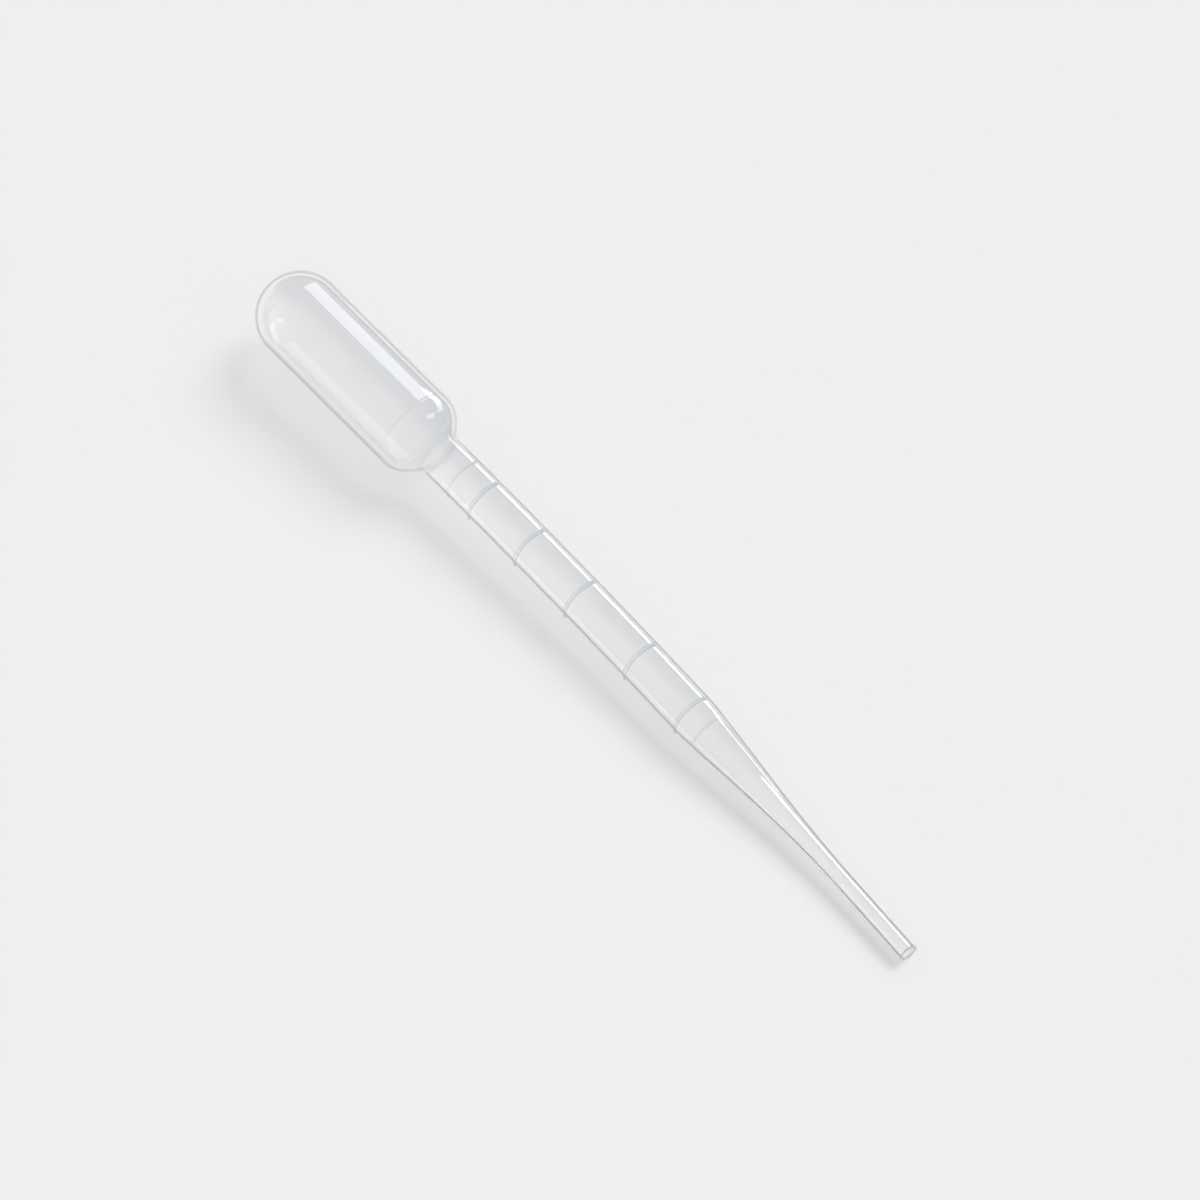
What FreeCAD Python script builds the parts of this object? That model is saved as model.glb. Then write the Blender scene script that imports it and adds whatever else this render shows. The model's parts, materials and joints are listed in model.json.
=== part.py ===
# A disposable dropper pipette, blow moulded in one piece from clear polyethylene.
#
# It is drawn along X, with the pole of the bulb's dome at the origin. The bulb, its shoulder and the neck
# are turned about that axis. From the neck on, the axis bends evenly towards -Y, as these thin pipettes do
# after moulding, and the tip is straight again. Last, the pipette is laid as it comes to rest.
# Lengths are in millimetres and angles in degrees.
import FreeCAD, Part
import math
import os
import re
import Sketcher
from FreeCAD import Placement, Rotation, Vector

SIZES = {
    # squeeze bulb: half-ball dome, barrel, and a shoulder that turns in, falls and turns back at the neck
    "bulb_radius": 7.4,
    "bulb_wall": 0.95,
    "barrel_length": 27.55,
    "shoulder_radius": 5.4,
    "shoulder_angle": 43,
    "neck_radius": 0.5,
    "neck_length": 1.0,
    # graduated stem and taper, measured along the bent axis, and the straight tip
    "bend_radius": 1400,
    "stem_radius": 3.87,
    "stem_wall": 0.65,
    "stem_length": 60.3,
    "taper_length": 38.0,
    "taper_start_power": 1.3,
    "taper_end_power": 2.1,
    "tip_radius": 1.61,
    "tip_wall": 0.46,
    "tip_length": 14.65,
    # graduation marks: raised beads with ball ends round one side of the wall, the first ones placed from
    # the neck, one at the stem's end and one past it
    "bead_radius": 0.42,
    "bead_end_radius": 0.48,
    "bead_height": 0.16,
    "fine_bead_height": 0.07,
    "beads_middle": 49,
    "beads_span": 142,
    "last_bead_span": 104,
    "first_mark": 5.2,
    "second_mark": 10.3,
    "third_mark": 21.4,
    "fourth_mark": 33.5,
    "fifth_mark": 48.0,
    "last_mark": 4.1,
}
# Where the round sections of the taper stand, as shares of its length. The wall runs straight between them.
TAPER_STATIONS = (0, 0.06, 0.16, 0.3, 0.44, 0.58, 0.72, 0.86, 1)
# A feature that changes the volume by less than this, in cubic millimetres, has missed the solid.
LEAST_CHANGE = 0.001

doc = FreeCAD.newDocument("dropper_pipette")
sheet = doc.addObject("Spreadsheet::Sheet", "Sizes")
for row, (alias, size) in enumerate(SIZES.items(), start=1):
    sheet.set(f"A{row}", alias)
    sheet.set(f"B{row}", str(size))
    sheet.setAlias(f"B{row}", alias)
doc.recompute()
body = doc.addObject("PartDesign::Body", "pipette")
body.Label = "pipette"


def sized(text):
    """The expression in text, with each of its names read from the sheet."""
    return re.sub(r"[a-z]+(?:_[a-z]+)+", r"Sizes.\g<0>", text)


def number(text):
    """The present value of the expression in text."""
    return float(sheet.evalExpression(sized(text)))


# The bulb's outline ends and the bend begins at the neck's end, this far from the dome's pole.
TURNS = "(shoulder_radius + neck_radius)"
NECK_END = (
    f"(bulb_radius + barrel_length + {TURNS} * sin(shoulder_angle) + neck_length"
    f" + (bulb_radius - stem_radius - {TURNS} * (1 - cos(shoulder_angle))) / tan(shoulder_angle))"
)
BEND_LENGTH = "(stem_length + taper_length)"
TIP_BORE = "(tip_radius - tip_wall)"


def heading(distance):
    """The angle that the axis has turned through at a distance past the neck's end."""
    return f"({distance}) / bend_radius * 180 / pi"


def axis_point(distance):
    """(x, y) of the axis at a distance past the neck's end."""
    turn = heading(distance)
    return f"{NECK_END} + bend_radius * sin({turn})", f"bend_radius * (cos({turn}) - 1)"


def along_axis(distance, roll="0", out="0"):
    """The place on the axis at a distance past the neck's end, turned about it by roll and moved out by out."""
    x, y = axis_point(distance)
    return (
        f"placement(vector({x}; {y}; 0); rotation(vector(0; 0; 1); -{heading(distance)}))"
        f" * placement(vector(0; 0; 0); rotation(vector(1; 0; 0); {roll}))"
        f" * placement(vector(0; {out}; 0); rotation(vector(1; 0; 0); 0))"
    )


def across_axis(distance):
    """The same place for a sketch on the YZ plane, whose own axes are Y, Z and X."""
    x, y = axis_point(distance)
    return f"placement(vector({y}; 0; {x}); rotation(vector(0; 1; 0); -{heading(distance)}))"


def attach(feature, role, offset=None):
    """Lays a sketch or a ball on one of the body's origin planes, moved by an expression for its place."""
    plane = next(f for f in body.Origin.OriginFeatures if f.Role == role)
    feature.AttachmentSupport = [(plane, "")]
    feature.MapMode = "FlatFace"
    if offset:
        feature.setExpression("AttachmentOffset", sized(offset))
    return feature


def new_sketch(name, role, offset=None):
    return attach(body.newObject("Sketcher::SketchObject", name), role, offset)


def bind(sketch, name, text, kind, *where):
    """Adds a dimension to a sketch and binds it to the expression in text."""
    value = math.radians(number(text)) if kind == "Angle" else number(text)
    index = sketch.addConstraint(Sketcher.Constraint(kind, *where, value))
    sketch.renameConstraint(index, name)
    sketch.setExpression(f"Constraints.{name}", sized(text))


def circle(name, role, radius, offset, centre="0"):
    """A sketch of one circle, centred that far up the sketch's own Y axis."""
    sketch = new_sketch(name, role, offset)
    height, size = number(centre), number(radius)
    index = sketch.addGeometry(Part.Circle(Vector(0, height, 0), Vector(0, 0, 1), size))
    bind(sketch, "radius", radius, "Radius", index)
    if height:
        sketch.addConstraint(Sketcher.Constraint("PointOnObject", index, 3, -2))
        bind(sketch, "centre", centre, "DistanceY", -1, 1, index, 3)
    else:
        sketch.addConstraint(Sketcher.Constraint("Coincident", index, 3, -1, 1))
    return sketch


def bulb_outline(name, inset, neck_inset):
    """Half the bulb's outline, set in from its outer face by one wall at the bulb and another at the neck."""
    sketch = new_sketch(name, "XY_Plane")
    dome, shoulder = f"(bulb_radius - {inset})", f"(shoulder_radius - {inset})"
    neck, turn_back = f"(stem_radius - {neck_inset})", f"(neck_radius + {neck_inset})"
    r, rs, rn, neck_r = (number(t) for t in (dome, shoulder, turn_back, neck))
    slope = math.radians(number("shoulder_angle"))
    centre_x, end_x = number("bulb_radius"), number(NECK_END)
    shoulder_x = centre_x + number("barrel_length")
    cone_top = Vector(shoulder_x + rs * math.sin(slope), r - rs * (1 - math.cos(slope)), 0)
    fall = cone_top.y - neck_r - rn * (1 - math.cos(slope))
    cone_foot = cone_top + Vector(fall / math.tan(slope), -fall, 0)
    neck_x = cone_foot.x + rn * math.sin(slope)
    up = Vector(0, 0, 1)
    dome_arc = Part.ArcOfCircle(Part.Circle(Vector(centre_x, 0, 0), up, r), math.pi / 2, math.pi)
    shoulder_arc = Part.ArcOfCircle(
        Part.Circle(Vector(shoulder_x, r - rs, 0), up, rs), math.pi / 2 - slope, math.pi / 2
    )
    neck_arc = Part.ArcOfCircle(
        Part.Circle(Vector(neck_x, neck_r + rn, 0), up, rn), 1.5 * math.pi - slope, 1.5 * math.pi
    )
    corners = [Vector(x, y, 0) for x, y in ((end_x, neck_r), (end_x, 0), (centre_x - r, 0))]
    sketch.addGeometry(
        [
            dome_arc,
            Part.LineSegment(Vector(centre_x, r, 0), Vector(shoulder_x, r, 0)),
            shoulder_arc,
            Part.LineSegment(cone_top, cone_foot),
            neck_arc,
            Part.LineSegment(Vector(neck_x, neck_r, 0), corners[0]),
            Part.LineSegment(corners[0], corners[1]),
            Part.LineSegment(corners[1], corners[2]),
        ]
    )
    start, end, middle = 1, 2, 3
    for one, other in (
        ((0, start), (1, start)),
        ((1, end), (2, end)),
        ((2, start), (3, start)),
        ((3, end), (4, start)),
        ((4, end), (5, start)),
    ):
        sketch.addConstraint(Sketcher.Constraint("Tangent", *one, *other))
    for one, other in (((5, end), (6, start)), ((6, end), (7, start)), ((7, end), (0, end))):
        sketch.addConstraint(Sketcher.Constraint("Coincident", *one, *other))
    sketch.addConstraint(Sketcher.Constraint("Horizontal", 1))
    sketch.addConstraint(Sketcher.Constraint("Horizontal", 5))
    sketch.addConstraint(Sketcher.Constraint("Vertical", 6))
    for point in ((0, middle), (7, start), (7, end)):
        sketch.addConstraint(Sketcher.Constraint("PointOnObject", *point, -1))
    bind(sketch, "dome", dome, "Radius", 0)
    bind(sketch, "shoulder", shoulder, "Radius", 2)
    bind(sketch, "turn_back", turn_back, "Radius", 4)
    bind(sketch, "dome_centre", "bulb_radius", "DistanceX", -1, 1, 0, middle)
    bind(sketch, "barrel", "barrel_length", "DistanceX", 1, start, 1, end)
    bind(sketch, "slope", "-shoulder_angle", "Angle", 3)
    bind(sketch, "neck", neck, "DistanceY", 6, end, 6, start)
    bind(sketch, "length", NECK_END, "DistanceX", -1, 1, 7, start)
    return sketch


def feature(kind, name, profile, **settings):
    made = body.newObject(f"PartDesign::{kind}", name)
    made.Profile = profile
    for key, value in settings.items():
        setattr(made, key, value)
    return made


def bend(kind, name, radius):
    """The stem's round section at the neck's end, turned about the far axis of the bend."""
    sketch = circle(f"{name}_section", "YZ_Plane", radius, across_axis("0"))
    away = -number("bend_radius")
    line = sketch.addGeometry(Part.LineSegment(Vector(away, -1, 0), Vector(away, 1, 0)), True)
    sketch.addConstraint(Sketcher.Constraint("Symmetric", line, 1, line, 2, -1))
    sketch.addConstraint(Sketcher.Constraint("DistanceY", line, 1, line, 2, 2))
    bind(sketch, "bend", "bend_radius", "DistanceX", line, 1, -1, 1)
    turned = feature(kind, name, sketch, ReferenceAxis=(sketch, ["Axis0"]), Reversed=True)
    turned.setExpression("Angle", sized(heading("stem_length")))
    return turned


def outer_radius(share):
    """The taper's outer radius at a share of its length: it eases out of the stem and into the tip."""
    left = f"(1 - ({share}) ^ taper_start_power) ^ taper_end_power"
    return f"(tip_radius + (stem_radius - tip_radius) * {left})"


def taper_wall(share):
    return f"(stem_wall + (tip_wall - stem_wall) * {share})"


def taper(kind, name, radius_at):
    """A loft through round sections that stand square across the bent axis."""
    sections = [
        circle(f"{name}_{n}", "YZ_Plane", radius_at(share), across_axis(f"stem_length + {share} * taper_length"))
        for n, share in enumerate(TAPER_STATIONS)
    ]
    return feature(kind, name, sections[0], Sections=sections[1:], Ruled=True)


def mark(name, distance, radius="stem_radius", height="bead_height", span="beads_span"):
    """A graduation mark: a bead laid round part of the wall, sunk so that it stands out by its height."""
    ring = f"({radius} + {height} - bead_radius)"
    middle = "90 + beads_middle"
    section = circle(f"{name}_section", "XY_Plane", "bead_radius", along_axis(distance, middle), ring)
    bead = feature("Revolution", f"{name}_bead", section, ReferenceAxis=(section, ["H_Axis"]), Midplane=True)
    bead.setExpression("Angle", sized(span))
    for end, sign in (("start", "-"), ("stop", "+")):
        ball = body.newObject("PartDesign::AdditiveEllipsoid", f"{name}_{end}")
        attach(ball, "XY_Plane", along_axis(distance, f"{middle} {sign} {span} / 2", ring))
        for way in (1, 2, 3):
            ball.setExpression(f"Radius{way}", sized("bead_end_radius"))


def resting_place():
    """The pose in which the bulb's barrel, the stem's end and the tip's mouth all touch the floor.

    The bend hangs a little below its own side, until the stem meets the floor. With T and S the tangent of
    the pitch and the sine of the roll, each contact gives one linear equation, and two differences of them
    give T and S.
    """
    turn = math.radians(number(heading(BEND_LENGTH)))
    stem_x, stem_drift = (number(text) for text in axis_point("stem_length"))
    bend_x, bend_drift = (number(text) for text in axis_point(BEND_LENGTH))
    tip_x = bend_x + number("tip_length") * math.cos(turn)
    tip_drift = bend_drift - number("tip_length") * math.sin(turn)
    barrel_x = number("bulb_radius + barrel_length")
    stem_run, tip_run = stem_x - barrel_x, tip_x - barrel_x
    stem_fall, tip_fall = number("bulb_radius - stem_radius"), number("bulb_radius - tip_radius")
    scale = stem_run * tip_drift - tip_run * stem_drift
    pitch = math.atan((stem_fall * tip_drift - tip_fall * stem_drift) / scale)
    roll = -math.asin((stem_run * tip_fall - tip_run * stem_fall) / scale)
    level = Rotation(Vector(0, 1, 0), math.degrees(pitch)) * Rotation(Vector(1, 0, 0), math.degrees(roll))
    return Placement(Vector(0, 0, 0), level)


# The outer form.
outline = bulb_outline("bulb_outline", "0", "0")
feature("Revolution", "bulb", outline, ReferenceAxis=(outline, ["H_Axis"]))
bend("Revolution", "stem", "stem_radius")
taper("AdditiveLoft", "taper", outer_radius)
tip_section = circle("tip_section", "YZ_Plane", "tip_radius", across_axis(BEND_LENGTH))
tip = feature("Pad", "tip", tip_section)
tip.setExpression("Length", sized("tip_length"))

# The graduation marks.
mark("mark_1", "first_mark", height="fine_bead_height")
mark("mark_2", "second_mark")
mark("mark_3", "third_mark")
mark("mark_4", "fourth_mark")
mark("mark_5", "fifth_mark")
mark("mark_6", "stem_length")
mark("mark_7", "stem_length + last_mark", outer_radius("last_mark / taper_length"), span="last_bead_span")

# The cavity, which leaves the blown wall and is open at the tip alone.
inside = bulb_outline("bulb_inside", "bulb_wall", "stem_wall")
feature("Groove", "bulb_cavity", inside, ReferenceAxis=(inside, ["H_Axis"]))
bend("Groove", "stem_bore", "(stem_radius - stem_wall)")
taper("SubtractiveLoft", "taper_bore", lambda share: f"({outer_radius(share)} - {taper_wall(share)})")
bore_section = circle("bore_section", "YZ_Plane", TIP_BORE, across_axis(BEND_LENGTH))
feature("Pocket", "tip_bore", bore_section, Type="ThroughAll", Reversed=True)
doc.recompute()

failed = [item.Label for item in doc.Objects if {"Invalid", "Error"} & set(item.State)]
if failed:
    raise RuntimeError(f"not built: {', '.join(failed)}")
solid_features = [item for item in body.Group if item.isDerivedFrom("PartDesign::Feature")]
for before, after in zip(solid_features, solid_features[1:]):
    if abs(after.Shape.Volume - before.Shape.Volume) < LEAST_CHANGE:
        raise RuntimeError(f"{after.Label} adds and takes nothing")

# The pipette lies as it rests, with its origin on the floor under the middle of its box.
body.Placement = resting_place()
doc.recompute()
box = body.Shape.optimalBoundingBox(False, False)
body.Placement.Base = -Vector(box.Center.x, box.Center.y, box.ZMin)
doc.recompute()
if body.Shape.isNull() or not body.Shape.isValid() or len(body.Shape.Solids) != 1:
    raise RuntimeError("the pipette isn't one sound solid")

os.makedirs("parts", exist_ok=True)
body.Shape.exportStep(f"parts/{body.Label}.step")
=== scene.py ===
"""A blow-moulded dropper pipette of clear polyethylene, lying as it rests on a pale table under soft boxes.

The wall is one closed surface: an outer face with raised graduation beads, the cut mouth of the tip, and the
inner face of the blown wall. Sizes are the moulding's own, in metres, and its place comes from the frame.
"""
import json

import bpy
import numpy as np
from mathutils import Matrix, Vector


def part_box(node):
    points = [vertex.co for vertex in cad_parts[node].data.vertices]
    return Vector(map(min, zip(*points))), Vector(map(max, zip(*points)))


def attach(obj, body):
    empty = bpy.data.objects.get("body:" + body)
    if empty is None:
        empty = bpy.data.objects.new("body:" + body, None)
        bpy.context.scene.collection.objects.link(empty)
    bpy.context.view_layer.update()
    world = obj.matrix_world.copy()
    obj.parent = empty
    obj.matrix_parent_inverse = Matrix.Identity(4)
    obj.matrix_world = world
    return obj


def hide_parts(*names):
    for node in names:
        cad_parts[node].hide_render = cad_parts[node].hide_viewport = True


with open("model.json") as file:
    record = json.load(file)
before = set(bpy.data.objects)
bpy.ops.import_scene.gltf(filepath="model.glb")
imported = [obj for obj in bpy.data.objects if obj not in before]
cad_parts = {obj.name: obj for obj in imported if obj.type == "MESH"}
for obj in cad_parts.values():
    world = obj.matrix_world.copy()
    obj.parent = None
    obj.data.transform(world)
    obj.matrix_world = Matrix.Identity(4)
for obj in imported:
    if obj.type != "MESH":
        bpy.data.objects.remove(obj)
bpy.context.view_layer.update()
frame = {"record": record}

MM = 0.001
# The bulb: a half-ball dome, a barrel, and a shoulder that falls at a slope to the neck.
BULB_RADIUS, BULB_WALL, BARREL = 7.4 * MM, 0.95 * MM, 27.55 * MM
SHOULDER_RADIUS, SHOULDER_SLOPE = 5.4 * MM, np.radians(43)
NECK_RADIUS, NECK_LENGTH = 0.5 * MM, 1.0 * MM
# The graduated stem, the taper and the tip. The axis bends evenly over the stem and the taper.
STEM_RADIUS, STEM_WALL, STEM_LENGTH = 3.87 * MM, 0.65 * MM, 60.3 * MM
TAPER_LENGTH, TAPER_START_POWER, TAPER_END_POWER = 38.0 * MM, 1.3, 2.1
TIP_RADIUS, TIP_WALL, TIP_LENGTH = 1.61 * MM, 0.46 * MM, 14.65 * MM
BEND_RADIUS = 1.4
# The small round at both edges of the cut mouth.
RIM_RADIUS = 0.06 * MM

# Distances along the axis from the dome's pole to where each stretch starts or ends.
TURN_SUM = SHOULDER_RADIUS + NECK_RADIUS
BARREL_END = BULB_RADIUS + BARREL
CONE_FALL = BULB_RADIUS - STEM_RADIUS - TURN_SUM * (1 - np.cos(SHOULDER_SLOPE))
NECK_START = BARREL_END + TURN_SUM * np.sin(SHOULDER_SLOPE) + CONE_FALL / np.tan(SHOULDER_SLOPE)
NECK_END = NECK_START + NECK_LENGTH
STEM_END = NECK_END + STEM_LENGTH
BEND_LENGTH = STEM_LENGTH + TAPER_LENGTH
TIP_START = NECK_END + BEND_LENGTH
MOUTH = TIP_START + TIP_LENGTH

# The beads: places past the neck, heights, and the span of each round the wall about one middle direction.
BEAD_RADIUS, BEAD_HEIGHT, FINE_HEIGHT = 0.42 * MM, 0.16 * MM, 0.07 * MM
BEADS_MIDDLE = np.radians(49)
BEAD_SPAN, LAST_SPAN = np.radians(142), np.radians(104)
BEADS = (
    (5.2 * MM, FINE_HEIGHT, BEAD_SPAN),
    (10.3 * MM, BEAD_HEIGHT, BEAD_SPAN),
    (21.4 * MM, BEAD_HEIGHT, BEAD_SPAN),
    (33.5 * MM, BEAD_HEIGHT, BEAD_SPAN),
    (48.0 * MM, BEAD_HEIGHT, BEAD_SPAN),
    (60.3 * MM, BEAD_HEIGHT, BEAD_SPAN),
    (64.4 * MM, FINE_HEIGHT, LAST_SPAN),
)
# The seams, fine grooves the mould leaves: places from the dome's pole, strengths, and spans round the wall.
SEAM_WIDTH, SEAM_DEPTH = 0.14 * MM, 0.02 * MM
SEAMS = (
    (5.9 * MM, 0.8, np.radians(50)),
    (BARREL_END, 0.8, 2 * np.pi),
    (NECK_START - 0.8 * MM, 0.6, 2 * np.pi),
)

# How finely the wall is divided: round it, in the bulb and down the stem on each face, and in the taper.
AROUND = 192
BULB_ROWS_OUTSIDE, BULB_ROWS_INSIDE = 24, 18
STEM_STEP_OUTSIDE, STEM_STEP_INSIDE = 1.6 * MM, 3.0 * MM
TAPER_ROWS, TAPER_CROWDING = 30, 1.2
# Rows across a bead in bead radii, across a seam in seam widths, down the tip, and in each round of the mouth.
ACROSS_BEAD = np.linspace(-0.98, 0.98, 19)
ACROSS_SEAM = np.linspace(-2.2, 2.2, 11)
TIP_ROWS = np.array((TIP_START + TIP_LENGTH / 2, MOUTH - 0.3 * MM, MOUTH - 0.18 * MM))
RIM_ROWS = 5

# Painted shade on the relief: the slope that counts as full, and the strengths of the painted shade in the neck's
# crease and along the seams.
STEEPEST = 1.1
CREASE_SHADE, CREASE_BEFORE_NECK, CREASE_WIDTH = 0.25, 0.2 * MM, 0.5 * MM
SEAM_SHADE = 0.3
# The cut mouth's shade, how far before the mouth it starts, and how far it takes to reach full strength.
CUT_SHADE, CUT_START, CUT_EASE = 0.8, 0.3 * MM, 0.12 * MM
# The gloss that beads and crease, the shoulder and the underside lose, and the bead height that counts as raised.
RAISED_LOSS, SHOULDER_LOSS, UNDER_LOSS = 0.9, 0.5, 0.55
RAISED = 0.2 * FINE_HEIGHT
# The shoulder's shading: how far past the barrel it starts, how far past the neck it ends, and its easing.
SHOULDER_START, SHOULDER_STOP, SHOULDER_EASE = MM, 2 * MM, 1.5 * MM


def unit(vector):
    """The vector divided by its length."""
    return vector / np.linalg.norm(vector)


mounts = {mount["name"]: mount for mount in frame["record"]["mounts"]}
BULB_AXIS = unit(-np.array(mounts["bulb_barrel"]["axis"]))
TIP_AXIS = unit(np.array(mounts["tip_bore"]["axis"]))
BEND_SIDE = unit(TIP_AXIS - TIP_AXIS.dot(BULB_AXIS) * BULB_AXIS)
CROSSWAYS = np.cross(BULB_AXIS, BEND_SIDE)

# The dome's pole: back from a point on the barrel's axis to where the dome touches the low end of the box.
low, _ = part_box("pipette")
barrel_point = np.array(mounts["bulb_barrel"]["pos_m"])
to_dome = (low.x + BULB_RADIUS - barrel_point[0]) / BULB_AXIS[0]
POLE = barrel_point + (to_dome - BULB_RADIUS) * BULB_AXIS


def axis_at(distance):
    """(points, sideways directions) of the axis at distances from the dome's pole.

    Straight, then an arc of the bend's radius, then straight along the arc's last heading.
    """
    run = np.clip(distance - NECK_END, 0, BEND_LENGTH)
    turn = run / BEND_RADIUS
    ahead = np.where(distance < NECK_END, distance, NECK_END)
    past = np.maximum(distance - TIP_START, 0)
    along = ahead + BEND_RADIUS * np.sin(turn) + past * np.cos(turn)
    side = BEND_RADIUS * (1 - np.cos(turn)) + past * np.sin(turn)
    points = along[:, None] * BULB_AXIS + side[:, None] * BEND_SIDE
    sideways = np.cos(turn)[:, None] * BEND_SIDE - np.sin(turn)[:, None] * BULB_AXIS
    return points, sideways


def arc(size, along):
    """How far an arc of a radius has left its tangent, at a distance along the tangent."""
    return size - np.sqrt(np.maximum(size ** 2 - along ** 2, 0))


def bulb_radius(distance, wall, neck_wall):
    """The radius of one face of the bulb at distances from the dome's pole.

    A quarter circle, a level line, an arc that turns in to the slope, the slope, and an arc that turns back.
    """
    radius, shoulder = BULB_RADIUS - wall, SHOULDER_RADIUS - wall
    neck, turn_back = STEM_RADIUS - neck_wall, NECK_RADIUS + neck_wall
    fall = radius - neck - (shoulder + turn_back) * (1 - np.cos(SHOULDER_SLOPE))
    neck_at = BARREL_END + (shoulder + turn_back) * np.sin(SHOULDER_SLOPE) + fall / np.tan(SHOULDER_SLOPE)
    slope_start = BARREL_END + shoulder * np.sin(SHOULDER_SLOPE)
    slope_end = neck_at - turn_back * np.sin(SHOULDER_SLOPE)
    top = radius - shoulder * (1 - np.cos(SHOULDER_SLOPE))
    return np.select(
        (distance < BULB_RADIUS, distance < BARREL_END, distance < slope_start, distance < slope_end),
        (
            radius - arc(radius, BULB_RADIUS - distance),
            np.full_like(distance, radius),
            radius - arc(shoulder, distance - BARREL_END),
            top - (distance - slope_start) * np.tan(SHOULDER_SLOPE),
        ),
        neck + arc(turn_back, np.maximum(neck_at - distance, 0)),
    )


def bulb_rows(wall, rows):
    """Distances down one face of the bulb: even turns round the dome, then even steps down the shoulder."""
    dome = BULB_RADIUS - (BULB_RADIUS - wall) * np.cos(np.linspace(0, np.pi / 2, rows))
    shoulder = np.linspace(BARREL_END, NECK_END, 2 * rows)[:-1]
    return np.concatenate((dome, shoulder))


def stem_radius(distance, wall):
    """The outer radius past the neck, less the wall if wall is 1.

    Level down the stem. In the taper, the share of the fall still to come is 1 less the share of the way raised
    to the start power, all raised to the end power. The wall thins evenly from the stem's to the tip's.
    """
    share = np.clip((distance - STEM_END) / TAPER_LENGTH, 0, 1)
    outer = TIP_RADIUS + (STEM_RADIUS - TIP_RADIUS) * (1 - share ** TAPER_START_POWER) ** TAPER_END_POWER
    return outer - wall * (STEM_WALL + (TIP_WALL - STEM_WALL) * share)


def stem_rows(spacing):
    """Distances down the stem at even spacing, then down the taper, closer together at its steep start."""
    level = np.arange(NECK_END, STEM_END, spacing)
    taper = STEM_END + TAPER_LENGTH * np.linspace(0, 1, TAPER_ROWS) ** TAPER_CROWDING
    return np.concatenate((level, taper))


def away_from(angle, middle, span):
    """How far an angle lies past either end of a span about its middle, and 0 within it.

    A middle of 0 is a quarter turn back from the bend's side. The difference is brought within half a turn.
    """
    return np.maximum(np.abs((angle - middle + 3 * np.pi / 2) % (2 * np.pi) - np.pi) - span / 2, 0)


def seam_lines(distance, angle):
    """Each seam as a smooth line: a bell curve of the distance across it, its strength at its middle."""
    lines = np.zeros(np.broadcast_shapes(distance.shape, angle.shape))
    for place, strength, span in SEAMS:
        gap = np.hypot(distance - place, away_from(angle, BEADS_MIDDLE, span) * STEM_RADIUS)
        lines = np.maximum(lines, strength * np.exp(-(gap / SEAM_WIDTH) ** 2))
    return lines


def relief(distance, angle):
    """How far the wall stands proud: each bead is a round bar with a ball at both ends, each seam a fine groove."""
    rise = np.zeros(np.broadcast_shapes(distance.shape, angle.shape))
    for place, height, span in BEADS:
        gap = np.hypot(distance - NECK_END - place, away_from(angle, BEADS_MIDDLE, span) * STEM_RADIUS)
        bar = np.sqrt(np.maximum(BEAD_RADIUS ** 2 - gap ** 2, 0)) - (BEAD_RADIUS - height)
        rise = np.maximum(rise, bar)
    return rise - SEAM_DEPTH * seam_lines(distance, angle)


def face_rows(bulb, stem, inside):
    """(distances, radii) from the pole to near the cut, down the outer face, or the inner one if inside is 1."""
    past_neck = np.concatenate((stem, TIP_ROWS))
    radii = bulb_radius(bulb, inside * BULB_WALL, inside * STEM_WALL), stem_radius(past_neck, inside)
    return np.concatenate((bulb, past_neck)), np.concatenate(radii)


def mouth_rows(radius, bore):
    """(distances, radii) over the cut mouth: a small quarter circle at each edge and the level cut between."""
    edge = np.linspace(0, np.pi / 2, RIM_ROWS)
    distances = MOUTH - RIM_RADIUS * (1 - np.concatenate((np.sin(edge), np.cos(edge))))
    outside = radius - RIM_RADIUS * (1 - np.cos(edge))
    inside = bore + RIM_RADIUS * (1 - np.sin(edge))
    return distances, np.concatenate((outside, inside))


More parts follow.
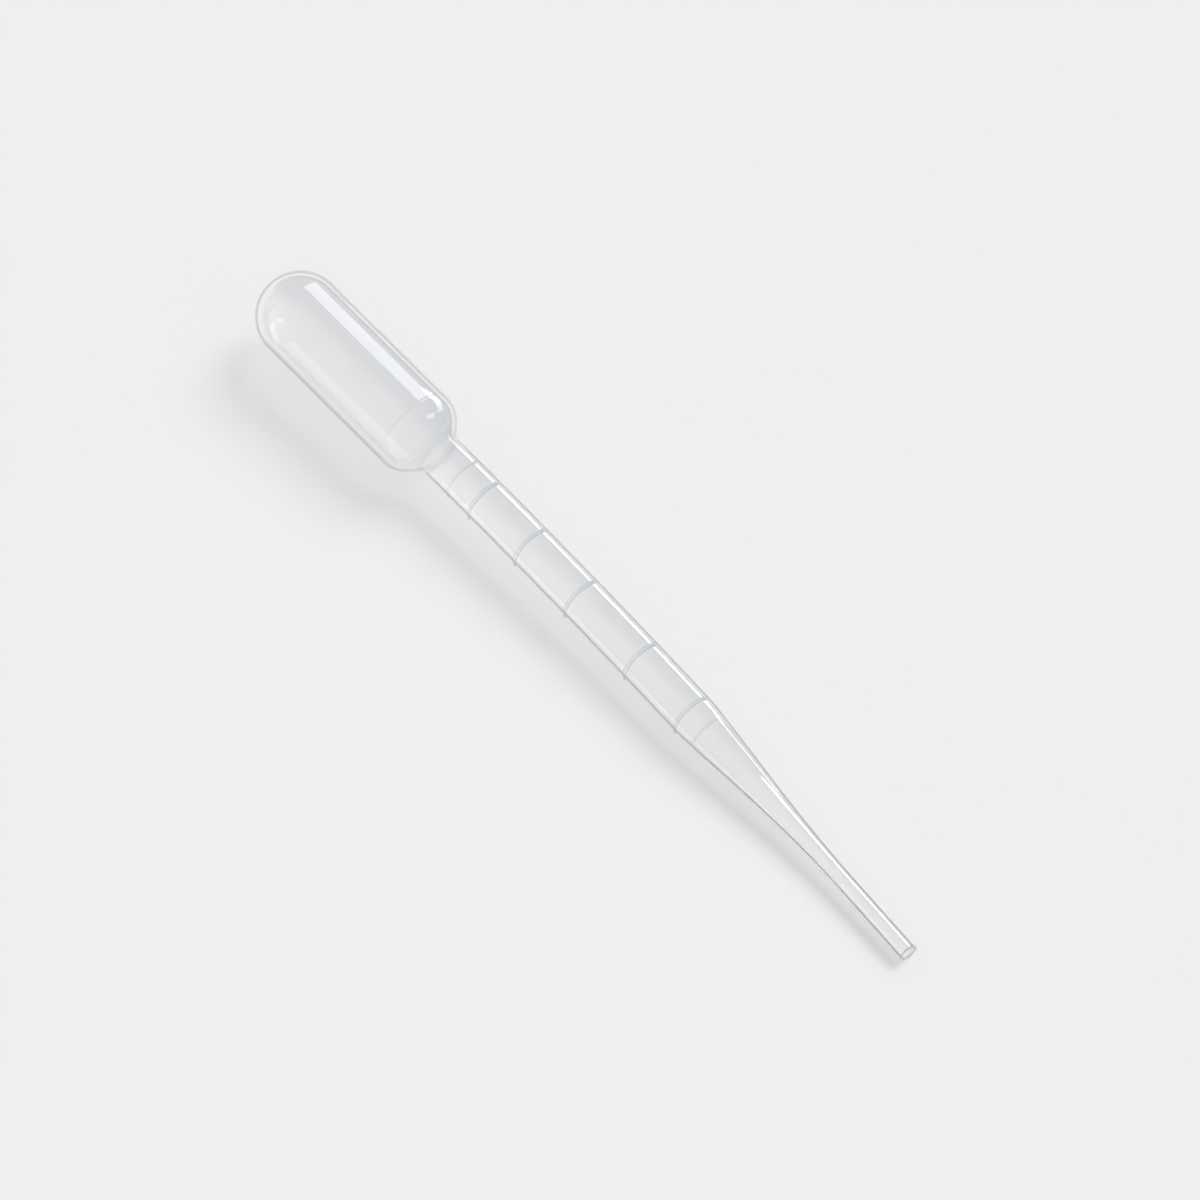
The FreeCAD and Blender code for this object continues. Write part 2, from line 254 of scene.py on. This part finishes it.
def surface_marks(distance, angle, radius, out, outer_rows):
    """The values from 0 to 1 that the wall's material reads at each point, by name.

    relief_shade: painted shade by the relief's slope, or by the bell curve of the neck's crease, a seam or the
    mouth's edges if stronger.
    gloss: 1 on the outer face, less what beads and crease, shoulder and underside lose.
    shoulder: 1 between barrel and stem, easing to 0 at both. slender: 0 at the bulb's radius, 1 at the tip's.
    back: 1 where the wall looks to the back of the table, 0 to its front. bore: 1 inside and on the mouth.
    """
    outside = (np.arange(len(distance)) < outer_rows)[:, None]
    rise = relief(distance, angle)
    proud = rise[:outer_rows]
    slope = np.zeros_like(rise)
    slope[:outer_rows] = np.hypot(
        np.gradient(proud, distance[:outer_rows, 0], axis=0), np.gradient(proud, angle[0] * STEM_RADIUS, axis=1))
    # Painted shade in the neck's crease and along the seams.
    crease = CREASE_SHADE * np.exp(-((distance - NECK_START + CREASE_BEFORE_NECK) / CREASE_WIDTH) ** 2)
    lines = np.maximum(crease, SEAM_SHADE * seam_lines(distance, angle))
    # Painted shade where the relief slopes, or in the crease and along the seams if stronger.
    relief_shade = outside * np.maximum(np.clip(slope / STEEPEST, 0, 1), lines)
    cut = np.zeros((len(distance), 1), bool)
    cut[outer_rows + RIM_ROWS - 1:outer_rows + RIM_ROWS + 1] = True
    at_mouth = np.clip((distance - MOUTH + CUT_START) / CUT_EASE, 0, 1) * ~cut
    between = np.minimum(distance - BARREL_END - SHOULDER_START, NECK_END + SHOULDER_STOP - distance)
    shoulder = np.broadcast_to(np.clip(between / SHOULDER_EASE, 0, 1), rise.shape)
    gloss = outside * (1 - RAISED_LOSS * np.maximum(np.clip(rise / RAISED, 0, 1), crease))
    gloss = gloss * (1 - SHOULDER_LOSS * shoulder) * (1 - UNDER_LOSS * np.clip(-out[..., 2], 0, 1))
    slender = np.clip((BULB_RADIUS - radius) / (BULB_RADIUS - TIP_RADIUS), 0, 1)
    slender = np.where(distance < BULB_RADIUS, 0, np.broadcast_to(slender, rise.shape))
    return {
        "relief_shade": np.maximum(relief_shade, at_mouth * CUT_SHADE),
        "gloss": gloss,
        "shoulder": shoulder,
        "slender": slender,
        "back": 0.5 + 0.5 * out[..., 1],
        "bore": 1.0 - np.broadcast_to(outside, rise.shape),
    }


def closed_mesh(name, grid):
    """A mesh over a grid of points whose rows are rings: quads between rings, a fan at each end's one point."""
    vertices = np.concatenate((grid[:1, 0], grid[1:-1].reshape(-1, 3), grid[-1:, 0]))
    rows = len(grid) - 2
    index = 1 + np.arange(rows * AROUND).reshape(rows, AROUND)
    beside = np.roll(index, -1, axis=1)
    quads = np.stack((index[:-1], beside[:-1], beside[1:], index[1:]), axis=-1).reshape(-1, 4)
    last = len(vertices) - 1
    first_fan = np.stack((np.zeros(AROUND, int), beside[0], index[0]), axis=-1)
    last_fan = np.stack((np.full(AROUND, last), index[-1], beside[-1]), axis=-1)
    mesh = bpy.data.meshes.new(name)
    mesh.from_pydata(vertices.tolist(), [], first_fan.tolist() + quads.tolist() + last_fan.tolist())
    mesh.polygons.foreach_set("use_smooth", np.ones(len(mesh.polygons), bool))
    mesh.update()
    return mesh


def wall_surface(name):
    """The whole wall as one closed grid: out along the outer face, over the mouth, back along the inner face.

    A point at (distance, angle) is the axis point there plus the radius times the unit vector at that angle
    between the bend's side and the crossways direction. Each dome's pole is one vertex. Rows that fall within a
    ten-thousandth of a millimetre of each other are merged.
    """
    beads = [NECK_END + place + BEAD_RADIUS * ACROSS_BEAD for place, _, _ in BEADS]
    seams = [place + SEAM_WIDTH * ACROSS_SEAM for place, _, _ in SEAMS]
    bulb_outside = np.unique(np.concatenate((bulb_rows(0, BULB_ROWS_OUTSIDE), *seams)).round(7))
    stem_outside = np.unique(np.concatenate((stem_rows(STEM_STEP_OUTSIDE), *beads)).round(7))
    face_x, face_r = face_rows(bulb_outside, stem_outside, 0)
    mouth_x, mouth_r = mouth_rows(TIP_RADIUS, TIP_RADIUS - TIP_WALL)
    back_x, back_r = face_rows(bulb_rows(BULB_WALL, BULB_ROWS_INSIDE), stem_rows(STEM_STEP_INSIDE), 1)
    distance = np.concatenate((face_x, mouth_x, back_x[::-1]))[:, None]
    radius = np.concatenate((face_r, mouth_r, back_r[::-1]))[:, None]
    angle = np.linspace(0, 2 * np.pi, AROUND, endpoint=False)[None, :]
    outside = (np.arange(len(distance)) < len(face_x))[:, None]
    spread = radius + outside * relief(distance, angle)
    points, sideways = axis_at(distance[:, 0])
    out = np.cos(angle)[..., None] * sideways[:, None, :] + np.sin(angle)[..., None] * CROSSWAYS
    mesh = closed_mesh(name, points[:, None, :] + spread[..., None] * out + POLE)
    for label, values in surface_marks(distance, angle, radius, out, len(face_x)).items():
        at_vertices = np.concatenate((values[:1, 0], values[1:-1].ravel(), values[-1:, 0]))
        mesh.attributes.new(label, "FLOAT", "POINT").data.foreach_set("value", at_vertices.astype(np.float32))
    piece = bpy.data.objects.new(name, mesh)
    bpy.context.scene.collection.objects.link(piece)
    return piece


class Field:
    """A value that varies over a surface. The usual operators on it add Math nodes to its shader."""

    def __init__(self, shader, socket):
        self.shader, self.socket = shader, socket

    def combine(self, operation, *values):
        """The result of one Math operation on the values, in their order."""
        return self.shader.node("ShaderNodeMath", {"operation": operation}, dict(enumerate(values)))["Value"]

    def at_most(self, other):
        """The smaller of this and the other."""
        return self.combine("MINIMUM", self, other)

    def __add__(self, other):
        return self.combine("ADD", self, other)

    def __sub__(self, other):
        return self.combine("SUBTRACT", self, other)

    def __mul__(self, other):
        return self.combine("MULTIPLY", self, other)

    def __pow__(self, other):
        return self.combine("POWER", self, other)

    def __rsub__(self, other):
        return self.combine("SUBTRACT", other, self)

    __radd__, __rmul__ = __add__, __mul__


class Shader:
    """The node tree of one material or of the world."""

    FIRST_COLOUR, SECOND_COLOUR = 6, 7

    def __init__(self, owner):
        owner.use_nodes = True
        self.tree = owner.node_tree
        self.tree.nodes.clear()

    def node(self, kind, settings=None, inputs=None):
        """Adds a node, makes its settings, then sets or links its inputs; its outputs come back by name."""
        made = self.tree.nodes.new(kind)
        for name, value in (settings or {}).items():
            setattr(made, name, value)
        for name, value in (inputs or {}).items():
            if isinstance(value, Field):
                self.tree.links.new(value.socket, made.inputs[name])
            else:
                made.inputs[name].default_value = value
        return {output.name: Field(self, output) for output in made.outputs if output.enabled}

    def noise(self, scale, detail):
        """Soft noise from 0 to 1 that stays with the piece."""
        where = self.node("ShaderNodeTexCoord")["Object"]
        return self.node("ShaderNodeTexNoise", None, {"Vector": where, "Scale": scale, "Detail": detail})["Fac"]

    def attribute(self, name):
        """One of the values that the mesh carries at its points."""
        return self.node("ShaderNodeAttribute", {"attribute_name": name})["Fac"]

    def clamp(self, value):
        """The value, held from 0 to 1."""
        return self.node("ShaderNodeClamp", None, {"Value": value})["Result"]

    def colour(self, share, first, second):
        """The first colour where the share is 0, the second where it is 1, and between them an even mix."""
        sockets = {"Factor": share, self.FIRST_COLOUR: first, self.SECOND_COLOUR: second}
        return self.node("ShaderNodeMix", {"data_type": "RGBA"}, sockets)["Result"]

    def either(self, share, first, second):
        """The first surface where the share is 0 and the second where it is 1."""
        return self.node("ShaderNodeMixShader", None, {0: share, 1: first, 2: second})["Shader"]

    def clear(self, colour):
        """A surface that lets light straight through, tinted."""
        return self.node("ShaderNodeBsdfTransparent", None, {"Color": colour})["BSDF"]

    def output(self, kind="ShaderNodeOutputMaterial", **inputs):
        """Ends the tree with its output node."""
        self.node(kind, None, inputs)


# The wall's tints: none, the painted shade of the bore, the painted shade on the sides of the beads, the painted
# shade along the outline on the bulb and on the tip, the painted shade at the bore's edge, and what lamp light keeps
# where it goes straight through and where it grazes.
NO_TINT, BORE_SHADE_TINT = (1.0, 1.0, 1.0, 1), (0.56, 0.59, 0.632, 1)
RELIEF_SHADE_TINT = (0.48, 0.50, 0.53, 1)
BULB_EDGE_SHADE_TINT, TIP_EDGE_SHADE_TINT = (0.62, 0.64, 0.67, 1), (0.42, 0.44, 0.48, 1)
BORE_EDGE_SHADE_TINT = (0.78, 0.79, 0.81, 1)
STRAIGHT_TINT, GRAZING_TINT = (0.997, 0.997, 0.998, 1), (0.50, 0.505, 0.51, 1)
# How dark the painted bore shade may get, how much cloud it has, and how much of it the tip loses.
DARKEST_BORE_SHADE, CLOUD, TIP_CLEARER = 0.72, 0.1, 0.3
# The painted shade along the outline, where the wall is seen edge on: the slant at its middle, how much nearer to
# face on that is in the tip, its sharpness, and how much of it the shoulder loses.
LINE_SLANT, TIP_LINE_SHIFT, LINE_SHARPNESS, SHOULDER_LINE_LOSS = 0.70, 0.28, 8.0, 0.5
# The painted shade at the bore's edge: how fast it rises and falls with the slant and from where, how much of it the
# front keeps, and how much of it slender parts and the shoulder lose.
BORE_RISE, BORE_RISE_FROM, BORE_FALL, BORE_FALL_FROM = 5.0, 1.4, 6.0, 3.6
FRONT_KEEPS, SLENDER_BORE_LOSS, SHOULDER_BORE_LOSS = 0.3, 0.5, 0.7
# The lamp light that is lost: where it grazes, everywhere, and the shares of that in the bulb and added in the tip.
GRAZING_LOSS, EVEN_LOSS, BULB_SHARE, TIP_SHARE = 1.35, 0.165, 0.88, 0.8
# The wall's finish: its roughness with the cloud, how much it bends light, and its glossy coat.
CLOUD_ROUGHNESS, WALL_IOR, COAT_ROUGHNESS, COAT_IOR = 0.02, 1.001, 0.02, 1.9


def clear_polyethylene():
    """Clear blown polyethylene: nearly unbent to look through, with painted shade where it is seen edge on, glossy
    outside.

    The bore carries painted shade, darker where the wall looks toward the back of the table. Painted shade lies on
    the sides of the beads, in the crease, along the seams and at the mouth's edges. The painted shade along the
    outline is
    1 less the square of the distance from its own slant. The painted shade at the bore's edge rises and falls again
    as the bore turns edge on. Lamp rays pass straight through, and lose more with the cube of the slant, toward the
    front of the table and in slender parts.
    """
    material = bpy.data.materials.new("clear_polyethylene")
    shader = Shader(material)
    cloud = shader.noise(160.0, 3.0)
    back, relief_shade, bore, slender, gloss, shoulder = (
        shader.attribute(name) for name in ("back", "relief_shade", "bore", "slender", "gloss", "shoulder"))
    slant = shader.node("ShaderNodeLayerWeight", None, {"Blend": 0.5})["Facing"]
    most_slender = slender ** 3

    # Painted shade on the bore, darker where the wall looks toward the back of the table, with a little cloud.
    bore_shade = (back ** 2).at_most(DARKEST_BORE_SHADE) + cloud * CLOUD - CLOUD / 2
    tint = shader.colour(bore_shade * (1 - most_slender * TIP_CLEARER) * bore, NO_TINT, BORE_SHADE_TINT)
    # Painted shade on the sides of the beads, in the neck's crease, along the seams and at the mouth's edges.
    tint = shader.colour(relief_shade, tint, RELIEF_SHADE_TINT)

    # Painted shade along the outline, darkest at its own slant.
    from_edge_shade = (slant + most_slender * TIP_LINE_SHIFT - LINE_SLANT) * LINE_SHARPNESS
    outer_edge_shade = shader.clamp(1 - from_edge_shade * from_edge_shade) * (1 - bore) * (1 - shoulder * SHOULDER_LINE_LOSS)
    tint = shader.colour(outer_edge_shade, tint, shader.colour(slender, BULB_EDGE_SHADE_TINT, TIP_EDGE_SHADE_TINT))

    # Painted shade at the bore's edge, rising and falling as the bore turns edge on.
    rising = shader.clamp(slant * BORE_RISE - BORE_RISE_FROM)
    falling = 1 - shader.clamp(slant * BORE_FALL - BORE_FALL_FROM)
    bore_edge_shade = rising * bore * falling * (back * (1 - FRONT_KEEPS) + FRONT_KEEPS)
    bore_edge_shade = bore_edge_shade * (1 - slender * SLENDER_BORE_LOSS) * (1 - shoulder * SHOULDER_BORE_LOSS)
    tint = shader.colour(bore_edge_shade, tint, BORE_EDGE_SHADE_TINT)

    wall = shader.node("ShaderNodeBsdfPrincipled", None, {
        "Base Color": tint, "Roughness": cloud * CLOUD_ROUGHNESS, "IOR": WALL_IOR, "Transmission Weight": 1.0,
        "Coat Weight": gloss, "Coat Roughness": COAT_ROUGHNESS, "Coat IOR": COAT_IOR,
    })["BSDF"]
    lost = (slant ** 3 * GRAZING_LOSS + EVEN_LOSS) * (1 - back) ** 2 * (most_slender * TIP_SHARE + BULB_SHARE)
    passed = shader.either(lost, shader.clear(STRAIGHT_TINT), shader.clear(GRAZING_TINT))
    shader.output(Surface=shader.either(shader.node("ShaderNodeLightPath")["Is Shadow Ray"], wall, passed))
    return material


# The table's paint: its two tones and its roughness.
DARKER_PAINT, PALER_PAINT, PAINT_ROUGHNESS = (0.795, 0.795, 0.795, 1), (0.805, 0.805, 0.805, 1), 0.75


def table_paint():
    """A smooth pale table top, with the faintest change of tone."""
    material = bpy.data.materials.new("table_paint")
    shader = Shader(material)
    tone = shader.colour(shader.noise(9.0, 2.0), DARKER_PAINT, PALER_PAINT)
    paint = shader.node("ShaderNodeBsdfPrincipled", None, {
        "Base Color": tone, "Roughness": PAINT_ROUGHNESS, "Specular IOR Level": 0.0,
    })["BSDF"]
    shader.output(Surface=paint)
    return material


def facing(right, back, place):
    """The placing of a lamp or camera at a place, with its right-hand side and the way its back looks."""
    turned = Matrix(np.column_stack((right, np.cross(back, right), back)).tolist()).to_4x4()
    turned.translation = place
    return turned


def soft_box(name, lean, away, first, last, low, high, glow):
    """A rectangular soft box beside the pipette, mirrored in the wall only.

    Its middle leans from straight up by the given angle, and its face looks at the pipette's line from that far
    away. It runs from first to last along the table, spans the leans from low to high, and glows evenly.
    """
    up, down = away * np.tan(high - lean), away * np.tan(low - lean)
    length, width = last - first, up - down
    light = bpy.data.lights.new(name, "AREA")
    light.shape, light.size, light.size_y, light.energy = "RECTANGLE", length, width, np.pi * glow * length * width
    box = bpy.data.objects.new(name, light)
    back = np.array((0, np.sin(lean), np.cos(lean)))
    right = np.array((1, 0, 0))
    middle = away * back + (up + down) / 2 * -np.cross(back, right) + (first + last) / 2 * right
    box.matrix_world = facing(right, back, PIPETTE_LINE + middle)
    box.visible_camera = box.visible_diffuse = False
    bpy.context.scene.collection.objects.link(box)


def broad_lamp(name, way, power, spread):
    """A far lamp that lights the table evenly from one way, as wide as the spread, and is never mirrored."""
    light = bpy.data.lights.new(name, "SUN")
    light.energy, light.angle = power, spread
    light.cycles.use_multiple_importance_sampling = False
    lamp = bpy.data.objects.new(name, light)
    lamp.matrix_world = Vector(way).to_track_quat("Z", "Y").to_matrix().to_4x4()
    lamp.visible_camera = lamp.visible_glossy = lamp.visible_transmission = False
    bpy.context.scene.collection.objects.link(lamp)


pipette = wall_surface("pipette_wall")
pipette.data.materials.append(clear_polyethylene())
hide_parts("pipette")
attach(pipette, "root")

# The table top is a square, this far from its middle to each side.
TABLE = 3.0
table_mesh = bpy.data.meshes.new("table_top")
corners = [(-TABLE, -TABLE, 0), (TABLE, -TABLE, 0), (TABLE, TABLE, 0), (-TABLE, TABLE, 0)]
table_mesh.from_pydata(corners, [], [(0, 1, 2, 3)])
table_top = bpy.data.objects.new("table_top", table_mesh)
table_mesh.materials.append(table_paint())
bpy.context.scene.collection.objects.link(table_top)

# The room's even light is mirrored in the wall; the far lamps light the table.
ROOM_GREY = 0.9
world = bpy.data.worlds.new("studio_room")
bpy.context.scene.world = world
room = Shader(world)
even = room.node("ShaderNodeBackground", None, {"Color": (ROOM_GREY, ROOM_GREY, ROOM_GREY, 1)})["Background"]
room.output("ShaderNodeOutputWorld", Surface=even)
world.cycles_visibility.diffuse = False

# Each soft box: its lean in degrees and its distance, where it starts and ends along the table, its lowest and
# highest lean in degrees, and its glow.
PIPETTE_LINE = np.array((0, 0, 0.008))
for name, lean, away, first, last, low_lean, high_lean, glow in (
    ("bulb_box", 51, 0.2, -0.167, -0.112, 31.5, 67.2, 2.0),
    ("stem_box", 75, 0.12, -0.0895, 0.003, 69, 86, 3.4),
    ("taper_box", 68, 0.12, 0.0035, 0.02, 65, 76, 3.4),
    ("tip_box", 40, 0.12, 0.0205, 0.06, 27, 52, 3.4),
):
    soft_box(name, np.radians(lean), away, first, last, np.radians(low_lean), np.radians(high_lean), glow)

broad_lamp("side_lamp", (0, 0.64, 0.768), 2.77, np.radians(32))
broad_lamp("sky_lamp", (0, 0, 1), 1.27, np.radians(120))

# The camera looks down at the pipette, with the bulb at the upper left and the tip at the lower right.
AZIMUTH, ELEVATION, AWAY = np.radians(48.42), np.radians(57.0), 1.4
AIM = np.array((0.003, 1.351, 5.581)) * MM
LENS, SENSOR, NEAREST, FARTHEST = 269.6, 36, 0.05, 20
camera_data = bpy.data.cameras.new("camera")
camera_data.lens, camera_data.sensor_width = LENS, SENSOR
camera_data.clip_start, camera_data.clip_end = NEAREST, FARTHEST
camera = bpy.data.objects.new("camera", camera_data)
camera_back = np.array(
    (np.sin(AZIMUTH) * np.cos(ELEVATION), -np.cos(AZIMUTH) * np.cos(ELEVATION), np.sin(ELEVATION)))
camera_right = np.array((np.cos(AZIMUTH), np.sin(AZIMUTH), 0))
camera.matrix_world = facing(camera_right, camera_back, AIM + AWAY * camera_back)
bpy.context.scene.collection.objects.link(camera)
bpy.context.scene.camera = camera
bpy.context.scene.view_settings.view_transform = "Standard"
cycles = bpy.context.scene.cycles
# Enough for light to cross every layer of the wall where it is seen along its length.
BOUNCES = 24
cycles.max_bounces = cycles.glossy_bounces = cycles.transmission_bounces = BOUNCES
cycles.caustics_reflective = cycles.caustics_refractive = False
